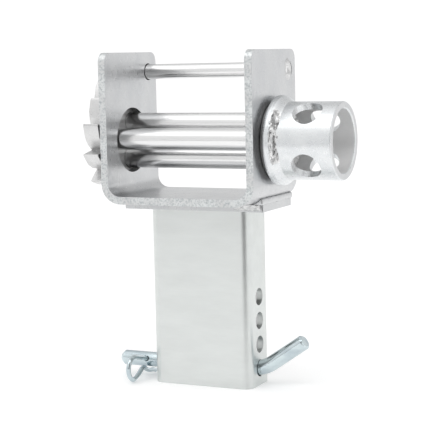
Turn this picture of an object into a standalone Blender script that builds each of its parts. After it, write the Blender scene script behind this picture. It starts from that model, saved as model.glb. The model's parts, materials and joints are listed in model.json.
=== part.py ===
"""A stake-pocket strap winch: a bent steel channel on a rectangular stake tube carries a three-bar drum.

The drum has a ratchet wheel at its left end and a perforated winch head at its right end, which takes a
winch bar. A pawl on the guide rod's left end holds the ratchet wheel. A bent hitch pin with a hairpin clip
locks the stake tube in its pocket.

Metres, +Z up, +X from the ratchet wheel to the winch head, -Y the side that the strap leaves from.
The origin is on the tube's foot plane, in the middle of the whole part's length and depth.
"""

import math

import bmesh
import bpy
from mathutils import Matrix, Vector

# Clearance between neighbouring solids, and how far a cutter reaches past what it cuts
GAP = 0.0003
OVER = 0.005

# Stake tube, hollow and open at its foot
TUBE_WIDTH = 0.089
TUBE_DEPTH = 0.041
TUBE_LENGTH = 0.147
TUBE_WALL = 0.0048
TUBE_CORNER = 0.008
TUBE_WELD_LEG = 0.0035
PIN_HOLE_RADIUS = 0.0071
PIN_HOLE_PITCH = 0.0199
PIN_HOLE_COUNT = 4
PIN_HEIGHT = 0.0144

# Base plate between the tube and the channel
BASE_WIDTH = 0.125
BASE_DEPTH = 0.059
BASE_THICKNESS = 0.0064
BASE_CORNER = 0.0015
BASE_Z = TUBE_LENGTH + GAP

# Channel bent from one plate
CHANNEL_WIDTH = 0.135
CHANNEL_DEPTH = 0.088
CHANNEL_HEIGHT = 0.122
PLATE = 0.0062
BEND_RADIUS = 0.0162
CORNER_RADIUS = 0.008
CHANNEL_Z = BASE_Z + BASE_THICKNESS + GAP
CHANNEL_BACK = CHANNEL_DEPTH / 2
PLATE_FACE = CHANNEL_WIDTH / 2
TUBE_Y = CHANNEL_BACK - BASE_DEPTH / 2

# Welds between the base plate and the channel; the right one also turns round the plate's front corner
WEDGE_START = 0.0050
WEDGE_END = 0.0118
WEDGE_LIP = 0.0014
WEDGE_RISE = 0.0022
WEDGE_INSET = 0.001
WEDGE_CORNER = 0.0042
FRONT_WELD_LEG = 0.0045
FRONT_WELD_START = 0.0380
FRONT_WELD_END = 0.0600

# Drum of three bars, about an axis along X
DRUM_Z = CHANNEL_Z + 0.0496
DRUM_HOLE_RADIUS = 0.0268
BAR_RADIUS = 0.00875
BAR_CIRCLE = 0.0164
BAR_COUNT = 3
DRUM_TURN = math.radians(174)

WHEEL_LEFT = -0.0821
WHEEL_THICKNESS = 0.0138
WHEEL_TIP = 0.048
WHEEL_ROOT = 0.034
WHEEL_TEETH = 12
WHEEL_TURN = math.radians(161)
TOOTH_STEP = 2 * math.pi / WHEEL_TEETH
TOOTH_LAND = math.radians(2.5)
TOOTH_LAND_DROP = 0.0004
TOOTH_BULGE = 0.0012
WHEEL_WELD_RADIUS = 0.0108
WHEEL_WELD_HEIGHT = 0.0022

FLANGE_LEFT = 0.0715
FLANGE_THICKNESS = 0.005
FLANGE_RADIUS = 0.036
FLANGE_EDGE = 0.0006
HUB_LEFT = PLATE_FACE + 0.0006
HUB_RADIUS = 0.0315
HEAD_LEFT = FLANGE_LEFT + FLANGE_THICKNESS + GAP
HEAD_RIGHT = 0.126
HEAD_RADIUS = 0.031
HEAD_BORE = 0.0252
HEAD_LIP = 0.0008
HEAD_HOLE_RADIUS = 0.012
HEAD_HOLE_X = 0.103
HEAD_HOLE_COUNT = 4
HEAD_WELD_LEG = 0.0041
HEAD_WELD_RISE = 0.0056
ROOT_WELD_LEG = 0.0045
ROOT_WELD_RISE = 0.0032

# Guide rod above the drum, whose left end carries the pawl
ROD_RADIUS = 0.00635
ROD_Y = 0.030
ROD_Z = CHANNEL_Z + 0.1055
ROD_HOLE_RADIUS = 0.0071
ROD_HEAD_RADIUS = 0.0088
ROD_HEAD_THICKNESS = 0.0030
ROD_WELD_RADIUS = 0.0098
ROD_WELD_HEIGHT = 0.0028
ROD_WELD_FORWARD = 0.002
WASHER_RADIUS = 0.0100
WASHER_THICKNESS = 0.0018
WASHER_INNER_LEFT = -(PLATE_FACE + GAP + WASHER_THICKNESS)
PAWL_RIGHT = WASHER_INNER_LEFT - GAP
PAWL_THICKNESS = 0.0105
PAWL_LEFT = PAWL_RIGHT - PAWL_THICKNESS
PAWL_BOSS_RADIUS = 0.0095
PAWL_CLEAR = 0.0004
PAWL_OVER_TOOTH = 0.0006
PAWL_NOSE_LOW = WHEEL_ROOT + 0.0022
PAWL_NOSE_HIGH = WHEEL_TIP - 0.0025
# The pawl's under and upper edges between nose and boss, as (y, z) from the drum's axis
PAWL_BELLY = [(0.0010, 0.0492), (0.0120, 0.0497), (0.0200, 0.0500)]
PAWL_CROWN = [(0.0090, 0.0635), (-0.0060, 0.0612), (-0.0180, 0.0545), (-0.0260, 0.0462)]
WASHER_OUTER_LEFT = PAWL_LEFT - GAP - WASHER_THICKNESS
ROD_HEAD_LEFT = WASHER_OUTER_LEFT - GAP - ROD_HEAD_THICKNESS

# Hitch pin through the tube, and its clip
PIN_RADIUS = 0.00635
PIN_LEFT = -0.0848
PIN_BEND_X = 0.0485
PIN_BEND_RADIUS = 0.028
PIN_BEND_ANGLE = math.radians(34.6)
PIN_LEG = 0.044
PIN_CHAMFER = 0.0030
CLIP_X = -0.0593
CLIP_WIRE_RADIUS = 0.0020
CLIP_HOLE_RADIUS = 0.0025
CLIP_TILT = math.radians(15)
# The clip's straight leg reaches from its tip to the bow, as distances forward of the pin's axis
CLIP_TIP = -0.0150
CLIP_BOW_RADIUS = 0.0095
CLIP_BOW_REACH = 0.0265
# The waved leg, as (forward, down) from the pin's axis
CLIP_WAVE = [(0.0176, 0.0142), (0.0122, 0.0090), (0.0080, 0.0080), (0.0035, 0.0091), (-0.0020, 0.0094)]
CLIP_WAVE += [(-0.0070, 0.0087), (-0.0105, 0.0086), (-0.0130, 0.0089)]

# Where the part reaches furthest, which sets the origin
REACH_LEFT = ROD_HEAD_LEFT
REACH_RIGHT = HEAD_RIGHT


def steel(name, color, roughness, metallic=1.0):
    material = bpy.data.materials.new(name)
    material.use_nodes = True
    shader = material.node_tree.nodes["Principled BSDF"]
    shader.inputs["Base Color"].default_value = (*color, 1.0)
    shader.inputs["Roughness"].default_value = roughness
    shader.inputs["Metallic"].default_value = metallic
    material.diffuse_color = (*color, 1.0)
    return material


def axis_empty(name, parent, place):
    empty = bpy.data.objects.new(name, None)
    empty.empty_display_size = 0.02
    bpy.context.scene.collection.objects.link(empty)
    empty.parent = parent
    empty.location = place
    return empty


def object_from(bm, name, parent, place=(0, 0, 0), smooth_angle=35):
    """Closes a bmesh into an object with outward faces and smooth round sides."""
    bmesh.ops.remove_doubles(bm, verts=bm.verts, dist=0.00001)
    bmesh.ops.recalc_face_normals(bm, faces=bm.faces)
    mesh = bpy.data.meshes.new(name)
    bm.to_mesh(mesh)
    bm.free()
    mesh.shade_smooth()
    mesh.set_sharp_from_angle(angle=math.radians(smooth_angle))
    obj = bpy.data.objects.new(name, mesh)
    bpy.context.scene.collection.objects.link(obj)
    obj.parent = parent
    obj.location = place
    return obj


def painted(obj, material):
    obj.data.materials.append(material)
    return obj


def arc(centre, radius, start, end, steps):
    """Points on an arc, from start to end in degrees."""
    angles = [math.radians(start + (end - start) * i / steps) for i in range(steps + 1)]
    return [(centre[0] + radius * math.cos(a), centre[1] + radius * math.sin(a)) for a in angles]


def rounded_rectangle(width, depth, radius, steps=6):
    x = width / 2 - radius
    y = depth / 2 - radius
    corners = [((x, y), 0), ((-x, y), 90), ((-x, -y), 180), ((x, -y), 270)]
    return [point for centre, start in corners for point in arc(centre, radius, start, start + 90, steps)]


def extruded(outline, plane, start, end):
    """A prism: the outline lies in the XZ, YZ or XY plane and is pushed along the remaining axis."""
    place = {
        "XZ": lambda a, b, depth: (a, depth, b),
        "YZ": lambda a, b, depth: (depth, a, b),
        "XY": lambda a, b, depth: (a, b, depth),
    }[plane]
    bm = bmesh.new()
    face = bm.faces.new([bm.verts.new(place(a, b, start)) for a, b in outline])
    pushed = bmesh.ops.extrude_face_region(bm, geom=[face])["geom"]
    moved = [item for item in pushed if isinstance(item, bmesh.types.BMVert)]
    bmesh.ops.translate(bm, verts=moved, vec=Vector(place(0, 0, end)) - Vector(place(0, 0, start)))
    return bm


def turned(profile, closed=False, steps=48):
    """Turns a profile of (x, radius) points about the X axis."""
    bm = bmesh.new()
    verts = [bm.verts.new((x, 0, radius)) for x, radius in profile]
    edges = [bm.edges.new(pair) for pair in zip(verts, verts[1:])]
    if closed:
        edges.append(bm.edges.new((verts[-1], verts[0])))
    turn = {"cent": (0, 0, 0), "axis": (1, 0, 0), "angle": 2 * math.pi, "steps": steps}
    bmesh.ops.spin(bm, geom=verts + edges, use_merge=True, **turn)
    return bm


def swept(path, radii, normal, sides=16):
    """A round bar along a path that stays in the plane with this normal; one radius for each point."""
    bm = bmesh.new()
    across = Vector(normal).normalized()
    points = [Vector(point) for point in path]
    rings = []
    for i, point in enumerate(points):
        ahead = points[min(i + 1, len(points) - 1)] - points[max(i - 1, 0)]
        side = ahead.normalized().cross(across)
        ring = []
        for k in range(sides):
            angle = 2 * math.pi * k / sides
            ring.append(bm.verts.new(point + radii[i] * (math.cos(angle) * across + math.sin(angle) * side)))
        rings.append(ring)
    for near, far in zip(rings, rings[1:]):
        for k in range(sides):
            bm.faces.new((near[k], near[(k + 1) % sides], far[(k + 1) % sides], far[k]))
    bm.faces.new(rings[0])
    bm.faces.new(rings[-1])
    return bm


def cut(obj, bm, name, place=(0, 0, 0)):
    """Takes the shape out of the object with a Boolean, and keeps the cutter hidden."""
    cutter = object_from(bm, name, obj.parent, place)
    cutter.hide_render = True
    cutter.display_type = "WIRE"
    modifier = obj.modifiers.new(name, "BOOLEAN")
    modifier.operation = "DIFFERENCE"
    modifier.solver = "EXACT"
    modifier.object = cutter
    return cutter


def cylinder(radius, start, end, steps=32):
    return turned([(start, 0), (start, radius), (end, radius), (end, 0)], steps=steps)


def on_circle(radius, angle):
    """(y, z) at an angle from +Y towards +Z."""
    return radius * math.cos(angle), radius * math.sin(angle)


def channel(parent, material):
    """The bent plate: two upright cheeks and a web below, bored for the drum and the guide rod."""
    half = CHANNEL_WIDTH / 2
    inner_bend = BEND_RADIUS - PLATE
    right = (half - BEND_RADIUS, BEND_RADIUS)
    left = (-right[0], BEND_RADIUS)
    outline = [(-half, CHANNEL_HEIGHT)]
    outline += arc(left, BEND_RADIUS, 180, 270, 10)
    outline += arc(right, BEND_RADIUS, 270, 360, 10)
    outline += [(half, CHANNEL_HEIGHT), (half - PLATE, CHANNEL_HEIGHT)]
    outline += arc(right, inner_bend, 360, 270, 10)
    outline += arc(left, inner_bend, 270, 180, 10)
    outline += [(PLATE - half, CHANNEL_HEIGHT)]
    bm = extruded(outline, "XZ", -CHANNEL_DEPTH / 2, CHANNEL_DEPTH / 2)
    top = [
        edge
        for edge in bm.edges
        if all(abs(v.co.z - CHANNEL_HEIGHT) < 1e-6 for v in edge.verts)
        and abs(edge.verts[0].co.y - edge.verts[1].co.y) < 1e-6
    ]
    bmesh.ops.bevel(bm, geom=top, offset=CORNER_RADIUS, segments=7, profile=0.5, affect="EDGES")
    obj = object_from(bm, "winch_channel", parent, (0, 0, CHANNEL_Z))
    reach = half + OVER
    cut(obj, cylinder(DRUM_HOLE_RADIUS, -reach, reach, 64), "cutter_drum_holes", (0, 0, DRUM_Z))
    cut(obj, cylinder(ROD_HOLE_RADIUS, -reach, reach), "cutter_rod_holes", (0, ROD_Y, ROD_Z))
    return painted(obj, material)


def base_plate(parent, material):
    outline = rounded_rectangle(BASE_WIDTH, BASE_DEPTH, BASE_CORNER, 3)
    bm = extruded(outline, "XY", 0, BASE_THICKNESS)
    return painted(object_from(bm, "base_plate", parent, (0, TUBE_Y, BASE_Z)), material)


def stake_tube(parent, material):
    """The rectangular tube, with a row of cross holes near its foot for the hitch pin."""
    outer = rounded_rectangle(TUBE_WIDTH, TUBE_DEPTH, TUBE_CORNER, 8)
    inner = rounded_rectangle(
        TUBE_WIDTH - 2 * TUBE_WALL, TUBE_DEPTH - 2 * TUBE_WALL, TUBE_CORNER - TUBE_WALL, 5
    )
    obj = object_from(extruded(outer, "XY", 0, TUBE_LENGTH), "stake_tube", parent, (0, TUBE_Y, 0))
    cut(obj, extruded(inner, "XY", -OVER, TUBE_LENGTH + OVER), "cutter_tube_inside", (0, TUBE_Y, 0))
    reach = TUBE_WIDTH / 2 + OVER
    for i in range(PIN_HOLE_COUNT):
        place = (0, TUBE_Y, PIN_HEIGHT + i * PIN_HOLE_PITCH)
        cut(obj, cylinder(PIN_HOLE_RADIUS, -reach, reach), f"cutter_pin_hole_{i + 1}", place)
    return painted(obj, material)


def bead(across, along):
    """A fillet weld's section from its thick end to its toe, as (along, across) from the corner it fills."""
    shares = [(0, 0), (0, 1), (0.2, 0.95), (0.55, 0.53), (0.95, 0.2), (1, 0)]
    return [(along * run, across * out) for run, out in shares]


def tube_inner_weld(parent, material):
    """A fillet weld all round inside the tube's top, under the base plate."""
    width = TUBE_WIDTH - 2 * TUBE_WALL
    depth = TUBE_DEPTH - 2 * TUBE_WALL
    corner = TUBE_CORNER - TUBE_WALL
    sharpest = 0.0004
    bm = bmesh.new()
    loops = []
    for down, out in bead(TUBE_WELD_LEG, TUBE_WELD_LEG):
        inset = GAP + out
        ring = rounded_rectangle(width - 2 * inset, depth - 2 * inset, max(corner - inset, sharpest), 4)
        loops.append([bm.verts.new((x, y, TUBE_LENGTH - down)) for x, y in ring])
    count = len(loops[0])
    for near, far in zip(loops, loops[1:] + loops[:1]):
        for k in range(count):
            bm.faces.new((near[k], near[(k + 1) % count], far[(k + 1) % count], far[k]))
    return painted(object_from(bm, "tube_inner_weld", parent, (0, TUBE_Y, 0)), material)


def end_weld(parent, material, name, side):
    """The weld that fills the wedge between the base plate's end and the channel's bend."""
    bend_x = PLATE_FACE - BEND_RADIUS
    clear = BEND_RADIUS + GAP
    start, end = [math.degrees(math.asin(out / clear)) - 90 for out in (WEDGE_START, WEDGE_END)]
    outline = arc((bend_x, BEND_RADIUS), clear, start, end, 4)
    edge = BASE_WIDTH / 2
    outline += [(edge + WEDGE_LIP, WEDGE_RISE), (edge + 0.7 * WEDGE_LIP, 0), (bend_x + WEDGE_START, 0)]
    outline = [(side * x, z) for x, z in outline]
    front = TUBE_Y - BASE_DEPTH / 2 + (-WEDGE_CORNER if side > 0 else WEDGE_INSET)
    bm = extruded(outline, "XZ", front, TUBE_Y + BASE_DEPTH / 2 - WEDGE_INSET)
    return painted(object_from(bm, name, parent, (0, 0, CHANNEL_Z)), material)


def front_weld(parent, material):
    """A short fillet weld from the base plate's front edge to the channel's underside, near the right bend."""
    leg = FRONT_WELD_LEG
    front = TUBE_Y - BASE_DEPTH / 2 - GAP
    outline = [(front - out, -GAP - down) for down, out in bead(leg, leg)]
    bm = extruded(outline, "YZ", FRONT_WELD_START, FRONT_WELD_END)
    return painted(object_from(bm, "base_weld_front", parent, (0, 0, CHANNEL_Z)), material)


def guide_rod(parent, material):
    """The rod that guides the strap; its left end is the pawl's pivot, headed over outside the washer."""
    neck = WASHER_OUTER_LEFT - GAP
    tip = ROD_HEAD_LEFT
    dome = [(0, 0), (0, 0.66), (0.4, 0.93), (0.67, 1)]
    profile = [(tip + ROD_HEAD_THICKNESS * along, ROD_HEAD_RADIUS * out) for along, out in dome]
    profile += [(neck, ROD_HEAD_RADIUS), (neck, ROD_RADIUS)]
    profile += [(PLATE_FACE, ROD_RADIUS), (PLATE_FACE, 0)]
    obj = object_from(turned(profile, steps=32), "guide_rod", parent, (0, ROD_Y, ROD_Z))
    return painted(obj, material)


def rod_weld(parent, material):
    """The plug weld over the guide rod's right end, run out a little towards the front."""
    start = PLATE_FACE + GAP
    shares = [(0, 0), (0, 1), (0.2, 0.95), (0.7, 0.62), (0.97, 0.28), (1, 0)]
    profile = [(start + ROD_WELD_HEIGHT * along, ROD_WELD_RADIUS * out) for along, out in shares]
    place = (0, ROD_Y - ROD_WELD_FORWARD, ROD_Z)
    obj = object_from(turned(profile, steps=32), "guide_rod_weld", parent, place)
    return painted(obj, material)


def washer(parent, material, name, left):
    hole = ROD_RADIUS + GAP
    profile = [(left, hole), (left, WASHER_RADIUS), (left + WASHER_THICKNESS, WASHER_RADIUS)]
    profile += [(left + WASHER_THICKNESS, hole)]
    return painted(object_from(turned(profile, True, 32), name, parent, (0, ROD_Y, ROD_Z)), material)


def drum_bar(parent, material, number):
    """One of the three bars, from just inside the ratchet wheel's outer face to the flange's right face."""
    start = WHEEL_LEFT + GAP
    end = FLANGE_LEFT + FLANGE_THICKNESS
    y, z = bar_place(number)
    obj = object_from(cylinder(BAR_RADIUS, start, end, 40), f"drum_bar_{number + 1}", parent, (0, y, z))
    return painted(obj, material)


def bar_place(number):
    """(y, z) of one bar from the drum's axis."""
    return on_circle(BAR_CIRCLE, DRUM_TURN + 2 * math.pi * number / BAR_COUNT)


def cut_bar_holes(obj, label, start, end):
    for number in range(BAR_COUNT):
        y, z = bar_place(number)
        cut(obj, cylinder(BAR_RADIUS + GAP, start, end), f"cutter_{label}_{number + 1}", (0, y, z))


def tooth_crest(tip, clear=0.0):
    """One tooth's tip, its narrow land and its slightly rounded back, or a line this far clear of them."""
    points = [on_circle(WHEEL_TIP + clear, tip)]
    points.append(on_circle(WHEEL_TIP - TOOTH_LAND_DROP + clear, tip + TOOTH_LAND))
    for share in (0.4, 0.7):
        radius = WHEEL_TIP + (WHEEL_ROOT - WHEEL_TIP) * share + TOOTH_BULGE + clear
        points.append(on_circle(radius, tip + TOOTH_LAND + (TOOTH_STEP - TOOTH_LAND) * share))
    return points


def ratchet_wheel(parent, material):
    """Saw teeth: each has a radial face, and a back that runs down to the next tooth's root."""
    outline = []
    for i in range(WHEEL_TEETH):
        tip = WHEEL_TURN + i * TOOTH_STEP
        outline.append(on_circle(WHEEL_ROOT, tip))
        outline += tooth_crest(tip)
    bm = extruded(outline, "YZ", WHEEL_LEFT, WHEEL_LEFT + WHEEL_THICKNESS)
    obj = object_from(bm, "ratchet_wheel", parent, smooth_angle=20)
    cut_bar_holes(obj, "wheel_hole", WHEEL_LEFT - OVER, WHEEL_LEFT + WHEEL_THICKNESS + OVER)
    return painted(obj, material)


def ratchet_weld(parent, material, number):
    """A domed weld over one bar's end, on the ratchet wheel's outer face."""
    y, z = bar_place(number)
    start = WHEEL_LEFT - GAP
    shares = [(0, 0), (1, 0), (0.86, 0.5), (0.41, 0.9), (0.18, 1), (0, 1)]
    profile = [(start - WHEEL_WELD_HEIGHT * along, WHEEL_WELD_RADIUS * out) for along, out in shares]
    name = f"ratchet_weld_{number + 1}"
    return painted(object_from(turned(profile, True, 24), name, parent, (0, y, z)), material)


def head_flange(parent, material):
    """The disc that closes the right cheek's hole and carries the winch head; its hub meets the cheek."""
    end = FLANGE_LEFT + FLANGE_THICKNESS
    profile = [(HUB_LEFT, 0), (HUB_LEFT, HUB_RADIUS), (FLANGE_LEFT, HUB_RADIUS)]
    profile += [(FLANGE_LEFT, FLANGE_RADIUS - FLANGE_EDGE), (FLANGE_LEFT + FLANGE_EDGE, FLANGE_RADIUS)]
    profile += [(end - FLANGE_EDGE, FLANGE_RADIUS), (end, FLANGE_RADIUS - FLANGE_EDGE), (end, 0)]
    obj = object_from(turned(profile, steps=64), "head_flange", parent)
    cut_bar_holes(obj, "flange_hole", HUB_LEFT - OVER, end + OVER)
    return painted(obj, material)


def winch_head(parent, material):
    """The thick tube with four cross holes that a winch bar goes into."""
    rim = HEAD_RIGHT - HEAD_LIP
    profile = [(HEAD_LEFT, HEAD_BORE), (HEAD_LEFT, HEAD_RADIUS), (rim, HEAD_RADIUS)]
    profile += [(HEAD_RIGHT, HEAD_RADIUS - HEAD_LIP), (HEAD_RIGHT, HEAD_BORE + HEAD_LIP), (rim, HEAD_BORE)]
    obj = object_from(turned(profile, True, 64), "winch_head", parent)
    for i in range(HEAD_HOLE_COUNT // 2):
        angle = DRUM_TURN + math.radians(45) + i * math.pi / 2
        bm = cylinder(HEAD_HOLE_RADIUS, -HEAD_RADIUS - OVER, HEAD_RADIUS + OVER, 40)
        stand = Matrix.Rotation(angle, 4, "X") @ Matrix.Rotation(math.pi / 2, 4, "Z")
        bmesh.ops.transform(bm, matrix=stand, verts=bm.verts)
        cut(obj, bm, f"cutter_head_hole_{i + 1}", (HEAD_HOLE_X, 0, 0))
    return painted(obj, material)


def head_weld(parent, material):
    """The fillet weld between the flange and the winch head."""
    inner = HEAD_RADIUS + GAP
    profile = [(HEAD_LEFT + along, inner + out) for along, out in bead(HEAD_WELD_LEG, HEAD_WELD_RISE)]
    return painted(object_from(turned(profile, True, 64), "head_weld", parent), material)


def head_inner_weld(parent, material):
    """The weld inside the winch head's root."""
    outer = HEAD_BORE - GAP
    profile = [(HEAD_LEFT + along, outer - out) for along, out in bead(ROOT_WELD_LEG, ROOT_WELD_RISE)]
    return painted(object_from(turned(profile, True, 48), "head_inner_weld", parent), material)


def pawl(parent, material):
    """A hooked pawl: its nose stands before a tooth's radial face, and its boss turns on the guide rod."""
    boss = Vector((ROD_Y, ROD_Z - DRUM_Z))
    tooth = WHEEL_TURN - TOOTH_STEP
    off_face = PAWL_CLEAR * Vector((math.sin(tooth), -math.cos(tooth)))
    nose = [Vector(on_circle(radius, tooth)) + off_face for radius in (PAWL_NOSE_LOW, PAWL_NOSE_HIGH)]
    outline = [tuple(nose[0])]
    outline += reversed(tooth_crest(tooth - TOOTH_STEP, PAWL_OVER_TOOTH))
    outline += PAWL_BELLY
    outline += arc(boss, PAWL_BOSS_RADIUS, 235, 470, 16)
    outline += PAWL_CROWN
    outline.append(tuple(nose[1]))
    outline = [(y - boss.x, z - boss.y) for y, z in outline]
    bm = extruded(outline, "YZ", PAWL_LEFT, PAWL_RIGHT)
    obj = object_from(bm, "pawl", parent, smooth_angle=30)
    cut(obj, cylinder(ROD_RADIUS + GAP, PAWL_LEFT - OVER, PAWL_RIGHT + OVER), "cutter_pawl_hole")
    return painted(obj, material)


def hitch_pin(parent, material):
    """A round pin, bent up outside the tube's right side, with a cross hole for the clip at its left end."""
    bend_start = PIN_BEND_X - PIN_BEND_RADIUS * math.tan(PIN_BEND_ANGLE / 2)
    path = [(PIN_LEFT, 0), (PIN_LEFT + PIN_CHAMFER, 0)]
    path += arc((bend_start, PIN_BEND_RADIUS), PIN_BEND_RADIUS, -90, math.degrees(PIN_BEND_ANGLE) - 90, 8)
    along = Vector((math.cos(PIN_BEND_ANGLE), math.sin(PIN_BEND_ANGLE)))
    vertex = Vector((PIN_BEND_X, 0))
    path += [tuple(vertex + (PIN_LEG - PIN_CHAMFER / 2) * along), tuple(vertex + PIN_LEG * along)]
    radii = [0.6 * PIN_RADIUS] + [PIN_RADIUS] * (len(path) - 2) + [PIN_RADIUS - PIN_CHAMFER / 2]
    bm = swept([(x, 0, z) for x, z in path], radii, (0, 1, 0), 28)
    obj = object_from(bm, "hitch_pin", parent)
    hole = cylinder(CLIP_HOLE_RADIUS, -PIN_RADIUS - OVER, PIN_RADIUS + OVER, 20)
    along_leg = Matrix.Rotation(-CLIP_TILT, 4, "X") @ Matrix.Rotation(math.pi / 2, 4, "Z")
    bmesh.ops.transform(hole, matrix=along_leg, verts=hole.verts)
    cut(obj, hole, "cutter_clip_hole", (CLIP_X, 0, 0))
    return painted(obj, material)


def smooth_route(points, steps):
    """A Catmull-Rom curve through the points."""
    points = [Vector(point) for point in points]
    ends = [2 * points[0] - points[1]] + points + [2 * points[-1] - points[-2]]
    route = []
    for before, start, end, after in zip(ends, ends[1:], ends[2:], ends[3:]):
        for i in range(steps):
            t = i / steps
            route.append(
                0.5
                * (
                    2 * start
                    + (end - before) * t
                    + (2 * before - 5 * start + 4 * end - after) * t * t
                    + (3 * start - before - 3 * end + after) * t * t * t
                )
            )
    return route + [points[-1]]


def hairpin_clip(parent, material):
    """A bent wire clip: one straight leg through the pin, a round bow, and a waved leg under the pin."""
    leg = [(CLIP_TIP, 0), (0, 0), (CLIP_BOW_REACH - CLIP_BOW_RADIUS, 0)]
    bow = arc((CLIP_BOW_REACH, CLIP_BOW_RADIUS), CLIP_BOW_RADIUS, -90, 100, 7)
    route = smooth_route(leg + bow + CLIP_WAVE, 3)
    forward = Vector((0, -math.cos(CLIP_TILT), math.sin(CLIP_TILT)))
    down = Vector((0, -math.sin(CLIP_TILT), -math.cos(CLIP_TILT)))
    path = [forward * point.x + down * point.y for point in route]
    bm = swept(path, [CLIP_WIRE_RADIUS] * len(path), (1, 0, 0), 10)
    return painted(object_from(bm, "hairpin_clip", parent, smooth_angle=60), material)


def tooth_reach():
    """How far the ratchet wheel's teeth reach towards -Y and +Y."""
    tips = [WHEEL_TIP * math.cos(WHEEL_TURN + i * TOOTH_STEP) for i in range(WHEEL_TEETH)]
    return min(tips), max(tips)


def main():
    for obj in list(bpy.data.objects):
        bpy.data.objects.remove(obj)

    plate_zinc = steel("zinc_plate", (0.66, 0.68, 0.68), 0.42)
    tube_zinc = steel("zinc_tube", (0.60, 0.64, 0.63), 0.40)
    bar_zinc = steel("zinc_bar", (0.72, 0.73, 0.75), 0.18)
    head_zinc = steel("zinc_head", (0.70, 0.71, 0.72), 0.32)
    weld_zinc = steel("zinc_weld", (0.62, 0.63, 0.64), 0.45)
    pin_zinc = steel("blue_zinc", (0.55, 0.63, 0.70), 0.26)

    front, back = tooth_reach()
    middle = ((REACH_LEFT + REACH_RIGHT) / 2, (front + back) / 2)
    frame = axis_empty("frame_origin", None, (-middle[0], -middle[1], 0))
    drum = axis_empty("drum_axis", frame, (0, 0, DRUM_Z))
    pawl_pivot = axis_empty("pawl_axis", frame, (0, ROD_Y, ROD_Z))
    pin_axis = axis_empty("pin_axis", frame, (0, TUBE_Y, PIN_HEIGHT))
    clip_axis = axis_empty("clip_axis", pin_axis, (CLIP_X, 0, 0))

    channel(frame, plate_zinc)
    base_plate(frame, plate_zinc)
    stake_tube(frame, tube_zinc)
    tube_inner_weld(frame, weld_zinc)
    end_weld(frame, weld_zinc, "base_weld_left", -1)
    end_weld(frame, weld_zinc, "base_weld_right", 1)
    front_weld(frame, weld_zinc)
    guide_rod(frame, bar_zinc)
    rod_weld(frame, weld_zinc)
    washer(frame, plate_zinc, "pawl_washer_inner", WASHER_INNER_LEFT)
    washer(frame, plate_zinc, "pawl_washer_outer", WASHER_OUTER_LEFT)

    for number in range(BAR_COUNT):
        drum_bar(drum, bar_zinc, number)
        ratchet_weld(drum, weld_zinc, number)
    ratchet_wheel(drum, plate_zinc)
    head_flange(drum, plate_zinc)
    winch_head(drum, head_zinc)
    head_weld(drum, weld_zinc)
    head_inner_weld(drum, weld_zinc)

    pawl(pawl_pivot, plate_zinc)
    hitch_pin(pin_axis, pin_zinc)
    hairpin_clip(clip_axis, pin_zinc)


main()
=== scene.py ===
"""Looks for the stake-pocket strap winch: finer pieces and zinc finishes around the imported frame."""

import json
import math

import bmesh
import bpy
from mathutils import Matrix, Vector, noise

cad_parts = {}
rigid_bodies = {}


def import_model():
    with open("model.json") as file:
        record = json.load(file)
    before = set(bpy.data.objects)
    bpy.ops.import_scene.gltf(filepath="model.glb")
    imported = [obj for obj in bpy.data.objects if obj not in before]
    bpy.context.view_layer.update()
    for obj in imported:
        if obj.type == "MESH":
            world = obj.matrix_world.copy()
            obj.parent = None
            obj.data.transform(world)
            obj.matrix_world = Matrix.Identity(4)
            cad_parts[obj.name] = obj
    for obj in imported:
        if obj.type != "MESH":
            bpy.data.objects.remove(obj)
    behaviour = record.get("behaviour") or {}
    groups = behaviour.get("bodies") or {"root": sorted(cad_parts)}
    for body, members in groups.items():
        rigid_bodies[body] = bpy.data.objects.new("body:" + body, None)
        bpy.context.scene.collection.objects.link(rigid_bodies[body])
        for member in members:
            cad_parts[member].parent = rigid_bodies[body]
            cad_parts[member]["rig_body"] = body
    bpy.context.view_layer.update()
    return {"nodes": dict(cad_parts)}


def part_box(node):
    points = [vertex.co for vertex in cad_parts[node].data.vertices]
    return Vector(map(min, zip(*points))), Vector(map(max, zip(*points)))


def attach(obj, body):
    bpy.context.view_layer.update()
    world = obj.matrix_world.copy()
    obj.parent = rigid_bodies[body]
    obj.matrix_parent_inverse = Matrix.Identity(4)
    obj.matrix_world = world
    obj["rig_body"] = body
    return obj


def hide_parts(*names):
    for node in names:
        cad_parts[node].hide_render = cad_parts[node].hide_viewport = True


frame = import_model()
BOX = {node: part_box(node) for node in frame["nodes"]}

# Camera: place in metres, turns in degrees, sensor and lens in millimetres
CAMERA_PLACE = (0.4794, -1.0205, 0.2707)
CAMERA_YAW = 25.39
CAMERA_PITCH = -6.58
CAMERA_ROLL = -1.28
SENSOR = 36.0
LENS = 115.2

# Cleaning and rounding the CAD shapes: metres, and degrees between faces
MERGE = 0.00001
FLAT_WITHIN = 0.5
SHARP_FROM = 32
EDGE_ROUND = 0.00045
HEAD_ROUND = 0.0006
THIN_ROUND = 0.0002
ROUND_SEGMENTS = 3
NORMALS_WEIGHT = 60

# Telling faces apart: how much of an axis a normal has, and metres from the outline
ALONG = 0.9
PARTLY = 0.5
ACROSS = 0.1
ON_OUTLINE = 0.001
NEAR_OUTLINE = 0.003
CHANNEL_BEND_SHARE = 0.2
HEAD_BORE_SHARE = 0.86

# Weld beads made from the CAD solid's skin, in metres
WELD_CELL = 0.0006
COARSE_WELD_CELL = 0.0008
FUSE = 0.00045
SKIN_SMOOTHINGS = 3
WELD_FINE_SCALE = 3.1
WELD_FINE_HEIGHT = 0.45
SEED_STEPS = (3.7, 1.3, 2.1)

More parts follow.
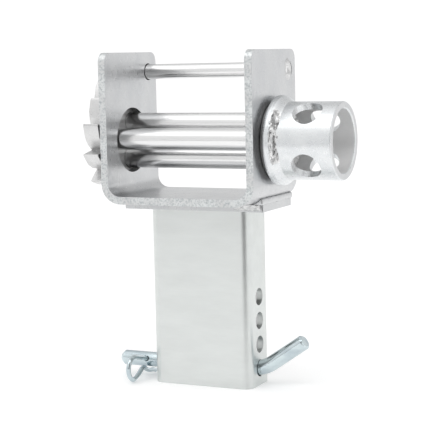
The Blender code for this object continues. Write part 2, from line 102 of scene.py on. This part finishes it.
# The collar's shape, in metres. The rim's outline is given past the flange's left face and past its
# radius, and the drum bars stand proud of the bore's bottom
FLANGE_THICKNESS = 0.005
# The hub fills the gap behind the flange as a dark disc that paints the shade there
HUB_RADIUS = 0.0315
RIM_OUTLINE = [(0.0, -0.0006), (0.0004, -0.0001), (0.0012, 0.0), (0.0030, -0.0002)]
BEAD_START = 0.0036
BEAD_START_DROP = 0.0004
BEAD_SINK = 0.0002
BEAD_OVERRUN = 0.0006
BEAD_STEPS = 14
BEAD_BULGE = 1.15
COLLAR_WALL = 0.0008
COLLAR_TURNS = 220
COLLAR_SHARP_FROM = 50
COLLAR_WAVER = 0.00008
WAVER_SCALE = 0.5
BAR_PROUD = 0.0005
BEHIND_DISC = 0.0001

# The rough patch where the collar's bead starts and stops: metres, degrees, and lumps to the metre
COLLAR_ROUGH = 0.0019
PATCH_MIDDLE = 172
PATCH_HALF = 42
BAND_WIDTH = 0.0050
BAND_FADE = 0.0020
GROOVE_BEFORE_TOE = 0.0030
GROOVE_WIDTH = 0.0007
GROOVE_DEPTH = 0.5
LUMPS_ALONG = 360
LUMPS_AROUND = 160
FINE_LUMPS_SCALE = 2.3
FINE_LUMPS_HEIGHT = 0.6
ELSEWHERE = Vector((9, 4, 2))
RAGS_ALONG = 420
RAGS_AROUND = 150
RAGS_LEVEL = 0.45
RAGS_SWING = 0.7
ROUGH_FACES_FROM = 0.002

# The plug bead: heights in metres; places and sizes in shares of its half sizes. Each lump has its height,
# its place across and up, and its size
PLUG_ACROSS = 0.42
PLUG_UPRIGHT = 0.52
PLUG_RINGS = 16
PLUG_TURNS = 56
PLUG_CENTRE = 0.01
PLUG_HEIGHT = 0.0011
PLUG_LUMPS = [(0.0026, 0.00, 0.58, 0.32), (0.0018, 0.35, -0.50, 0.36), (-0.0028, -0.32, 0.05, 0.30)]
PLUG_ROUGH = 0.0004
PLUG_ROUGH_SCALE = 4.3
PLUG_SINK = 0.0007
PLUG_BACK = 0.0005

# The studio
FLOOR_HALF = 40.0
MATTE_ROUGHNESS = 0.9
MATTE_SHADE = 0.985
SKY_STRENGTH = 2.0

# The studio's brightness by angle: 0 level in front, 90 overhead, 180 level behind, in degrees
SKY = [(0, 0.90), (15, 0.92), (40, 1.05), (80, 1.08), (105, 1.0), (120, 0.82), (135, 0.66), (158, 0.72),
       (170, 1.00), (175, 1.05), (180, 1.05)]


# Materials

def rgb(value, tint=(1.0, 1.0, 1.0)):
    """A grey of this brightness, tinted."""
    return (value * tint[0], value * tint[1], value * tint[2], 1.0)


def add(tree, kind, **settings):
    """A new shader node of this kind, with its settings."""
    made = tree.nodes.new("ShaderNode" + kind)
    for name, value in settings.items():
        setattr(made, name, value)
    return made


def noise_of(tree, coordinates, scale, detail=4.0, roughness=0.55, stretch=(1.0, 1.0, 1.0)):
    """Noise with features about 1/scale metres across, drawn out along an axis whose stretch is small."""
    mapping = add(tree, "Mapping")
    mapping.inputs["Scale"].default_value = stretch
    texture = add(tree, "TexNoise")
    texture.inputs["Scale"].default_value = scale
    texture.inputs["Detail"].default_value = detail
    texture.inputs["Roughness"].default_value = roughness
    tree.links.new(coordinates, mapping.inputs["Vector"])
    tree.links.new(mapping.outputs["Vector"], texture.inputs["Vector"])
    return texture.outputs["Fac"]


def spread(tree, value, low, high, start=0.35, end=0.65):
    """Maps start to low and end to high; the defaults take in the middle of a noise."""
    ranged = add(tree, "MapRange")
    ranged.inputs["From Min"].default_value = start
    ranged.inputs["From Max"].default_value = end
    ranged.inputs["To Min"].default_value = low
    ranged.inputs["To Max"].default_value = high
    tree.links.new(value, ranged.inputs["Value"])
    return ranged.outputs["Result"]


def two_tone(tree, factor, first, second):
    """The first colour where factor is 0, the second where it is 1."""
    mixed = add(tree, "Mix", data_type="RGBA")
    mixed.inputs["A"].default_value = first
    mixed.inputs["B"].default_value = second
    tree.links.new(factor, mixed.inputs["Factor"])
    return mixed.outputs["Result"]


def zinc(name, light, dark, roughness, rough_spread=0.06, patch=(70, (1, 1, 1)), grain=(900, (1, 1, 1)),
         bump=0.15, depth=0.00012, speckle=None):
    """Plated steel: cloudy patches in colour, and a fine grain in roughness and height.

    patch and grain give a noise's scale and stretch; speckle, if any, its scale, colour and stretch.
    """
    material = bpy.data.materials.new(name)
    material.use_nodes = True
    tree = material.node_tree
    shader = tree.nodes["Principled BSDF"]
    shader.inputs["Base Color"].default_value = light
    shader.inputs["Metallic"].default_value = 1.0
    shader.inputs["Roughness"].default_value = roughness
    coordinates = add(tree, "TexCoord").outputs["Object"]
    cloud = noise_of(tree, coordinates, patch[0], detail=3.0, roughness=0.5, stretch=patch[1])
    fine = noise_of(tree, coordinates, grain[0], detail=5.0, roughness=0.6, stretch=grain[1])
    color = two_tone(tree, spread(tree, cloud, 0.0, 1.0), light, dark)
    if speckle:
        speckles = noise_of(tree, coordinates, speckle[0], detail=6.0, roughness=0.7, stretch=speckle[2])
        factor = spread(tree, speckles, 0.0, 1.0, start=0.46, end=0.60)
        blend = add(tree, "Mix", data_type="RGBA")
        blend.inputs["B"].default_value = speckle[1]
        tree.links.new(factor, blend.inputs["Factor"])
        tree.links.new(color, blend.inputs["A"])
        color = blend.outputs["Result"]
        fine = speckles
    tree.links.new(color, shader.inputs["Base Color"])
    rough = spread(tree, fine, roughness - rough_spread, roughness + rough_spread)
    tree.links.new(rough, shader.inputs["Roughness"])
    raised = add(tree, "Bump")
    raised.inputs["Strength"].default_value = bump
    raised.inputs["Distance"].default_value = depth
    tree.links.new(fine, raised.inputs["Height"])
    tree.links.new(raised.outputs["Normal"], shader.inputs["Normal"])
    return material


def matte(name, value, grain_scale, glow=0.0):
    """A dull, faintly clouded surface; glow lifts the floor to the white of the photo's ground."""
    material = bpy.data.materials.new(name)
    material.use_nodes = True
    tree = material.node_tree
    shader = tree.nodes["Principled BSDF"]
    shader.inputs["Base Color"].default_value = rgb(value)
    shader.inputs["Roughness"].default_value = MATTE_ROUGHNESS
    shader.inputs["Emission Color"].default_value = rgb(1.0)
    shader.inputs["Emission Strength"].default_value = glow
    coordinates = add(tree, "TexCoord").outputs["Object"]
    cloud = spread(tree, noise_of(tree, coordinates, grain_scale), 0.0, 1.0)
    color = two_tone(tree, cloud, rgb(value), rgb(value * MATTE_SHADE))
    tree.links.new(color, shader.inputs["Base Color"])
    return material


PLATE = zinc("zinc_plate", rgb(0.62, (0.99, 1.0, 1.01)), rgb(0.575, (0.985, 1.0, 1.02)), roughness=0.32,
             patch=(60, (1, 1, 0.5)), grain=(700, (1, 1, 0.25)))
EDGE = zinc("zinc_cut_edge", rgb(0.78, (0.97, 1.0, 1.0)), rgb(0.66), roughness=0.40, rough_spread=0.10,
            bump=0.55, depth=0.0003, speckle=(620, rgb(0.52, (0.95, 1.0, 1.02)), (1, 1, 1)))
# Hole walls darker than the plate: painted shade inside the channel's holes
PAINTED_HOLE_SHADE = zinc("zinc_hole_wall_painted_shade", rgb(0.40), rgb(0.32), roughness=0.50)
# The wheel's side towards the cheek, darker than the rest of the wheel: painted shade
PAINTED_WHEEL_SHADE = zinc("zinc_wheel_side_painted_shade", rgb(0.50), rgb(0.43), roughness=0.36)
# Dark zinc for the hub behind the flange: painted shade in the gap by the cheek
SHADE = zinc("zinc_crevice_painted_shade", rgb(0.32), rgb(0.24), roughness=0.55)
# Rough patch: a light base with dark specks drawn out upright, partly the weld's real spatter and partly
# painted highlights and shade of its lumps
ROUGH = zinc("zinc_spatter_and_painted_streaks", rgb(0.86), rgb(0.66), roughness=0.24, rough_spread=0.08,
             patch=(260, (1, 1, 0.4)), bump=0.8, depth=0.0005, speckle=(300, rgb(0.34), (1.4, 1.0, 0.30)))
TUBE = zinc("zinc_tube", rgb(0.735, (0.97, 1.0, 0.985)), rgb(0.70, (0.97, 1.0, 0.985)), roughness=0.40,
            patch=(90, (0.3, 1, 1)), grain=(800, (0.12, 1, 1)))
# Inner faces lighter than the tube's outside: painted light inside the tube and the head's bore
INSIDE_PAINTED_LIGHT = zinc("zinc_inside_painted_light", rgb(0.86), rgb(0.80), roughness=0.55)
BAR = zinc("zinc_bar", rgb(0.82), rgb(0.77), roughness=0.23, rough_spread=0.04, patch=(160, (0.1, 1, 1)),
           grain=(1500, (0.03, 1, 1)), bump=0.08, depth=0.00005)
HEAD = zinc("zinc_head", rgb(0.79, (0.98, 1.0, 1.01)), rgb(0.735, (0.975, 1.0, 1.02)), roughness=0.30,
            rough_spread=0.05, patch=(150, (0.6, 1, 1)), grain=(600, (1, 1, 1)), bump=0.10)
WHEEL = zinc("zinc_wheel", rgb(0.68), rgb(0.60), roughness=0.32)
WELD = zinc("zinc_weld", rgb(0.72), rgb(0.60), roughness=0.30, rough_spread=0.08, patch=(260, (1, 1, 1)),
            bump=0.25, depth=0.0003)
PIN = zinc("zinc_blue", rgb(0.74, (0.86, 0.97, 1.0)), rgb(0.58, (0.84, 0.97, 1.04)), roughness=0.14,
           rough_spread=0.04, patch=(120, (0.3, 1, 1)))


# Making pieces

def object_of(bm, name, materials=()):
    """A linked object that takes over the bmesh."""
    mesh = bpy.data.meshes.new(name)
    bm.to_mesh(mesh)
    bm.free()
    for material in materials:
        mesh.materials.append(material)
    obj = bpy.data.objects.new(name, mesh)
    bpy.context.scene.collection.objects.link(obj)
    return obj


def piece_from(bm, name, nodes, materials):
    """A smooth visual piece that stands for CAD nodes of one body and rides on that body."""
    piece = object_of(bm, name, materials)
    piece.data.shade_smooth()
    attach(piece, frame["nodes"][nodes[0]]["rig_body"])
    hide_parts(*nodes)
    return piece


def solid_of(node):
    """The CAD node's shape with its seams joined and its flat faces whole again."""
    bm = bmesh.new()
    bm.from_mesh(frame["nodes"][node].data)
    bmesh.ops.remove_doubles(bm, verts=bm.verts, dist=MERGE)
    flat = math.radians(FLAT_WITHIN)
    bmesh.ops.dissolve_limit(bm, angle_limit=flat, verts=bm.verts, edges=bm.edges, delimit={"NORMAL"})
    return bm


def detailed(node, name, materials, choose=None, width=EDGE_ROUND, angle=SHARP_FROM):
    """The CAD node with its sharp edges rounded; choose gives each face's material number."""
    bm = solid_of(node)
    if choose:
        for face in bm.faces:
            face.material_index = choose(face.normal, face.calc_center_median())
    piece = piece_from(bm, name, [node], materials)
    bevel = piece.modifiers.new("edges", "BEVEL")
    bevel.limit_method = "ANGLE"
    bevel.angle_limit = math.radians(angle)
    bevel.width = width
    bevel.segments = ROUND_SEGMENTS
    bevel.use_clamp_overlap = True
    normals = piece.modifiers.new("normals", "WEIGHTED_NORMAL")
    normals.weight = NORMALS_WEIGHT


def channel_face(normal, centre):
    """0 on the plate's rolled faces, 1 on the sheared edges and the top, 2 on the walls of the holes,
    darker as painted shade.
    """
    low, high = BOX["winch_channel"]
    depth = min(centre.y - low.y, high.y - centre.y)
    if abs(normal.y) > ALONG and depth < ON_OUTLINE:
        return 1
    upright = centre.z > low.z + CHANNEL_BEND_SHARE * (high.z - low.z)
    if not upright or abs(normal.x) > PARTLY:
        return 0
    return 1 if min(depth, high.z - centre.z) < NEAR_OUTLINE else 2


def wheel_face(normal, centre):
    """1 on the wheel's inner side, which faces the cheek and is darker as painted shade; 0 elsewhere."""
    return 1 if normal.x > PARTLY else 0


def head_face(normal, centre):
    """1 on the bore's wall, lighter as painted light; 2 on the flat end ring; 0 elsewhere."""
    low, high = BOX["winch_head"]
    middle = (low + high) / 2
    radial = Vector((0, centre.y - middle.y, centre.z - middle.z))
    if normal.x > ALONG:
        return 2
    within = radial.length < HEAD_BORE_SHARE * (high.z - middle.z)
    inward = radial.dot(normal) < 0 and abs(normal.x) < ACROSS
    return 1 if within and inward else 0


def tube_face(normal, centre):
    """1 on the faces that look towards the tube's own middle line, lighter as painted light; 0 outside."""
    low, high = BOX["stake_tube"]
    middle = (low + high) / 2
    inward = Vector((middle.x - centre.x, middle.y - centre.y, 0))
    depth = min(centre.x - low.x, high.x - centre.x, centre.y - low.y, high.y - centre.y)
    faces_in = inward.dot(normal) > 0 and abs(normal.z) < PARTLY
    return 1 if depth > NEAR_OUTLINE and faces_in else 0


# Welds

def lumpy(node, name, materials, amount, scale, seed, cell=WELD_CELL):
    """A weld bead: the CAD solid as a fine skin, grown until it meets its neighbours and made uneven.

    amount is the lumps' height in metres, scale how many fit in a metre, and seed says where their noise
    is read.
    """
    source = object_of(solid_of(node), name + "_rough")
    remesh = source.modifiers.new("skin", "REMESH")
    remesh.mode = "VOXEL"
    remesh.voxel_size = cell
    evaluated = source.evaluated_get(bpy.context.evaluated_depsgraph_get())
    skin = bmesh.new()
    skin.from_mesh(evaluated.to_mesh())
    evaluated.to_mesh_clear()
    bpy.data.objects.remove(source)
    for _ in range(SKIN_SMOOTHINGS):
        bmesh.ops.smooth_vert(skin, verts=skin.verts, factor=0.5,
                              use_axis_x=True, use_axis_y=True, use_axis_z=True)
    skin.normal_update()
    shift = Vector([seed * step for step in SEED_STEPS])
    for vert in skin.verts:
        place = vert.co * scale
        coarse = noise.noise(place + shift)
        fine = noise.noise(place * WELD_FINE_SCALE + shift)
        vert.co += vert.normal * (FUSE + amount * (coarse + WELD_FINE_HEIGHT * fine))
    piece_from(skin, name, [node], materials)


def rough_patch(degrees):
    """1 at the middle of the rough patch round the collar, falling to 0 at its ends."""
    off = abs(degrees % 360 - PATCH_MIDDLE)
    return max(0.0, 1 - (off / PATCH_HALF) ** 4)


def toe_band(x, toe):
    """1 in the last few millimetres of the bead, falling to 0 towards the flange's rim."""
    return max(0.0, min(1.0, 1 - (toe - x - BAND_WIDTH) / BAND_FADE))


def ragged(place):
    """A threshold that wanders, so that the rough patch has no straight border."""
    wander = Vector((place.x * RAGS_ALONG, place.y * RAGS_AROUND, place.z * RAGS_AROUND))
    return RAGS_LEVEL + RAGS_SWING * noise.noise(wander)


def collar_lump(x, radius, angle, toe):
    """How far the skin stands out here: lumps and a groove in the rough patch, over a slight waver."""
    rough = COLLAR_ROUGH * rough_patch(math.degrees(angle)) * toe_band(x, toe)
    y = radius * math.cos(angle)
    z = radius * math.sin(angle)
    place = Vector((x * LUMPS_ALONG, y * LUMPS_AROUND, z * LUMPS_AROUND))
    lump = noise.noise(place) + FINE_LUMPS_HEIGHT * noise.noise(place * FINE_LUMPS_SCALE + ELSEWHERE)
    lump -= GROOVE_DEPTH * math.exp(-((x - toe + GROOVE_BEFORE_TOE) / GROOVE_WIDTH) ** 2)
    return rough * lump + COLLAR_WAVER * noise.noise(place * WAVER_SCALE)


def collar_profile(disc, rim, toe, neck):
    """The collar's outline as (x, radius), from the hub round the flange and down the bead to the bore.

    disc is the x of the flange's left face and rim its radius; toe is the x of the bead's end, and neck
    the head's radius.
    """
    left = BOX["head_flange"][0].x
    bottom = BOX["head_flange"][1].x - BAR_PROUD
    profile = [(left, 0), (left, HUB_RADIUS), (disc, HUB_RADIUS)]
    profile += [(disc + past, rim + out) for past, out in RIM_OUTLINE]
    length = toe + BEAD_OVERRUN - disc - BEAD_START
    top = rim - BEAD_START_DROP
    drop = top - neck + BEAD_SINK
    for i in range(BEAD_STEPS + 1):
        share = i / BEAD_STEPS
        fall = 0.5 - 0.5 * math.cos(math.pi * share ** BEAD_BULGE)
        profile.append((disc + BEAD_START + share * length, top - fall * drop))
    inside = neck - COLLAR_WALL
    return profile + [(toe + BEAD_OVERRUN, inside), (bottom, inside), (bottom, 0)]


def collar_materials(bm, axis, disc, toe):
    """Material 1, dark as painted shade, on the hub behind the flange; 2 on the rough patch; 0 elsewhere.
    """
    for face in bm.faces:
        centre = face.calc_center_median()
        around = math.degrees(math.atan2(centre.z - axis.z, centre.y - axis.y))
        if centre.x < disc - BEHIND_DISC:
            face.material_index = 1
        elif centre.x > disc + ROUGH_FACES_FROM:
            rough = rough_patch(around) * toe_band(centre.x, toe)
            face.material_index = 2 if rough > ragged(centre) else 0


def collar():
    """The flange and the bead that welds it to the head, run together."""
    flange_low, flange_high = BOX["head_flange"]
    head_low, head_high = BOX["winch_head"]
    axis = (head_low + head_high) / 2
    disc = flange_high.x - FLANGE_THICKNESS
    rim = (flange_high.z - flange_low.z) / 2
    toe = BOX["head_weld"][1].x
    neck = (head_high.z - head_low.z) / 2
    profile = collar_profile(disc, rim, toe, neck)
    bm = bmesh.new()
    rings = []
    for k in range(COLLAR_TURNS):
        angle = 2 * math.pi * k / COLLAR_TURNS
        ring = []
        for x, radius in profile:
            out = radius
            if radius > neck:
                out += collar_lump(x, radius, angle, toe)
            y = axis.y + out * math.cos(angle)
            z = axis.z + out * math.sin(angle)
            ring.append(bm.verts.new((x, y, z)))
        rings.append(ring)
    for k in range(COLLAR_TURNS):
        near, far = rings[k], rings[(k + 1) % COLLAR_TURNS]
        for i in range(len(profile) - 1):
            bm.faces.new((near[i], near[i + 1], far[i + 1], far[i]))
    bmesh.ops.remove_doubles(bm, verts=bm.verts, dist=MERGE)
    bmesh.ops.recalc_face_normals(bm, faces=bm.faces)
    collar_materials(bm, axis, disc, toe)
    piece = piece_from(bm, "collar", ["head_flange", "head_weld"], [HEAD, SHADE, ROUGH])
    piece.data.set_sharp_from_angle(angle=math.radians(COLLAR_SHARP_FROM))


def hump(y, z, at_y, at_z, size):
    """A smooth bump of height 1 about a place on the bead, in shares of its half sizes."""
    return math.exp(-((y - at_y) ** 2 + (z - at_z) ** 2) / size ** 2)


def plug_height(y, z):
    """The plug bead's height before it runs out to its edge: two lumps beside a pit."""
    height = PLUG_HEIGHT
    for tall, at_y, at_z, size in PLUG_LUMPS:
        height += tall * hump(y, z, at_y, at_z, size)
    return height + PLUG_ROUGH * noise.noise(Vector((y * PLUG_ROUGH_SCALE, z * PLUG_ROUGH_SCALE, 2.0)))


def plug_bead():
    """The plug weld over the guide rod's end, run out flat into the cheek."""
    low, high = BOX["guide_rod_weld"]
    centre = (low + high) / 2
    across = PLUG_ACROSS * (high.y - low.y)
    upright = PLUG_UPRIGHT * (high.z - low.z)
    bm = bmesh.new()
    rings = []
    for i in range(PLUG_RINGS + 1):
        share = max(i / PLUG_RINGS, PLUG_CENTRE)
        ring = []
        for k in range(PLUG_TURNS):
            angle = 2 * math.pi * k / PLUG_TURNS
            y = share * math.cos(angle)
            z = share * math.sin(angle)
            x = low.x - PLUG_SINK + (1 - share ** 2) * plug_height(y, z)
            ring.append(bm.verts.new((x, centre.y + across * y, centre.z + upright * z)))
        rings.append(ring)
    back = [bm.verts.new((vert.co.x - PLUG_BACK, vert.co.y, vert.co.z)) for vert in rings[-1]]
    rings.append(back)
    for near, far in zip(rings, rings[1:]):
        for k in range(PLUG_TURNS):
            after = (k + 1) % PLUG_TURNS
            bm.faces.new((near[k], near[after], far[after], far[k]))
    bm.faces.new(rings[0])
    bm.faces.new(back)
    bmesh.ops.recalc_face_normals(bm, faces=bm.faces)
    piece_from(bm, "guide_bead", ["guide_rod_weld"], [WELD])


# The pieces

detailed("winch_channel", "channel", [PLATE, EDGE, PAINTED_HOLE_SHADE], channel_face)
detailed("base_plate", "mounting_plate", [PLATE])
detailed("stake_tube", "stake", [TUBE, INSIDE_PAINTED_LIGHT], tube_face)
detailed("guide_rod", "strap_guide", [BAR])
for number in (1, 2, 3):
    detailed(f"drum_bar_{number}", f"bar_{number}", [BAR])
    lumpy(f"ratchet_weld_{number}", f"wheel_bead_{number}", [WELD],
          amount=0.0006, scale=260, seed=number)
detailed("ratchet_wheel", "ratchet", [WHEEL, PAINTED_WHEEL_SHADE], wheel_face)
detailed("pawl", "stop_pawl", [WHEEL])
detailed("pawl_washer_inner", "inner_washer", [WHEEL], width=THIN_ROUND)
detailed("pawl_washer_outer", "outer_washer", [WHEEL], width=THIN_ROUND)
collar()
detailed("winch_head", "head", [HEAD, INSIDE_PAINTED_LIGHT, PLATE], head_face, width=HEAD_ROUND)
detailed("hitch_pin", "pin", [PIN])
detailed("hairpin_clip", "clip", [PIN], width=THIN_ROUND, angle=50)
lumpy("head_inner_weld", "head_inner_bead", [WELD], amount=0.0007, scale=240, seed=5)
plug_bead()
lumpy("base_weld_left", "left_bead", [PLATE], amount=0.0003, scale=160, seed=7)
lumpy("base_weld_right", "right_bead", [PLATE], amount=0.0003, scale=160, seed=8)
lumpy("base_weld_front", "front_bead", [WELD], amount=0.0013, scale=260, seed=9)
lumpy("tube_inner_weld", "tube_bead", [WELD], amount=0.0005, scale=240, seed=10,
      cell=COARSE_WELD_CELL)


# The studio

def floor():
    """A plain pale floor that reaches past every view."""
    bm = bmesh.new()
    bmesh.ops.create_grid(bm, x_segments=8, y_segments=8, size=FLOOR_HALF)
    obj = object_of(bm, "floor", [matte("pale_floor", 0.90, grain_scale=3.0, glow=0.20)])


def studio_world():
    """A white studio: bright overhead and at the level background, greyer in front and high behind."""
    world = bpy.data.worlds.new("studio")
    bpy.context.scene.world = world
    world.use_nodes = True
    tree = world.node_tree
    background = tree.nodes["Background"]
    split = add(tree, "SeparateXYZ")
    tree.links.new(add(tree, "TexCoord").outputs["Generated"], split.inputs["Vector"])
    front = add(tree, "Math", operation="MULTIPLY")
    front.inputs[1].default_value = -1.0
    tree.links.new(split.outputs["Y"], front.inputs[0])
    above = add(tree, "Math", operation="MAXIMUM")
    above.inputs[1].default_value = 0.0
    tree.links.new(split.outputs["Z"], above.inputs[0])
    angle = add(tree, "Math", operation="ARCTAN2")
    tree.links.new(above.outputs["Value"], angle.inputs[0])
    tree.links.new(front.outputs["Value"], angle.inputs[1])
    behind = SKY[-1][0]
    share = spread(tree, angle.outputs["Value"], 0.0, 1.0, start=0.0, end=math.radians(behind))
    ramp = add(tree, "ValToRGB")
    elements = ramp.color_ramp.elements
    for degrees, _ in SKY[1:-1]:
        elements.new(degrees / behind)
    for element, (degrees, value) in zip(elements, SKY):
        element.position = degrees / behind
        element.color = rgb(value / SKY_STRENGTH)
    tree.links.new(share, ramp.inputs["Fac"])
    tree.links.new(ramp.outputs["Color"], background.inputs["Color"])
    background.inputs["Strength"].default_value = SKY_STRENGTH


def soft_light(name, place, aim, size, power):
    """An area lamp at place, turned to aim; its power is in watts, and the camera doesn't see it."""
    light = bpy.data.lights.new(name, "AREA")
    light.shape = "RECTANGLE"
    light.size, light.size_y = size
    light.energy = power
    obj = bpy.data.objects.new(name, light)
    bpy.context.scene.collection.objects.link(obj)
    obj.location = place
    obj.rotation_euler = (Vector(aim) - Vector(place)).to_track_quat("-Z", "Y").to_euler()
    obj.visible_camera = False


def card(name, direction, distance, width, height, value):
    """A card that stands on the floor and that only the metal sees, as a darker line in its gloss."""
    bm = bmesh.new()
    across = Vector((-direction[1], direction[0], 0)).normalized() * width / 2
    foot = Vector((direction[0], direction[1], 0)).normalized() * distance
    corners = [foot - across, foot + across]
    corners += [corner + Vector((0, 0, height)) for corner in reversed(corners)]
    bm.faces.new([bm.verts.new(corner) for corner in corners])
    obj = object_of(bm, name, [matte(name + "_paper", value, grain_scale=5.0)])
    obj.visible_camera = False
    obj.visible_diffuse = False
    obj.visible_shadow = False


def camera():
    """The camera at the photo's angle."""
    data = bpy.data.cameras.new("camera")
    data.sensor_width = SENSOR
    data.lens = LENS
    data.clip_start = 0.01
    data.clip_end = 100
    obj = bpy.data.objects.new("camera", data)
    bpy.context.scene.collection.objects.link(obj)
    turn = Matrix.Rotation(math.radians(CAMERA_YAW), 4, "Z")
    tilt = Matrix.Rotation(math.radians(90 + CAMERA_PITCH), 4, "X")
    roll = Matrix.Rotation(math.radians(CAMERA_ROLL), 4, "Z")
    obj.matrix_world = Matrix.Translation(CAMERA_PLACE) @ turn @ tilt @ roll
    bpy.context.scene.camera = obj


floor()
studio_world()
soft_light("overhead", place=(0.0, -0.8, 1.8), aim=(0, 0, 0.1), size=(2.2, 1.4), power=7)
soft_light("inside_stake", place=(0.0, 0.0008, 0.055), aim=(0.0, 0.03, 0.055), size=(0.03, 0.07),
           power=0.005)
card("right_card", direction=(0.66, -0.75), distance=0.40, width=0.32, height=0.6, value=0.03)
card("front_card", direction=(-0.43, -0.90), distance=1.00, width=1.60, height=0.15, value=0.72)
camera()
bpy.context.scene.view_settings.view_transform = "Standard"
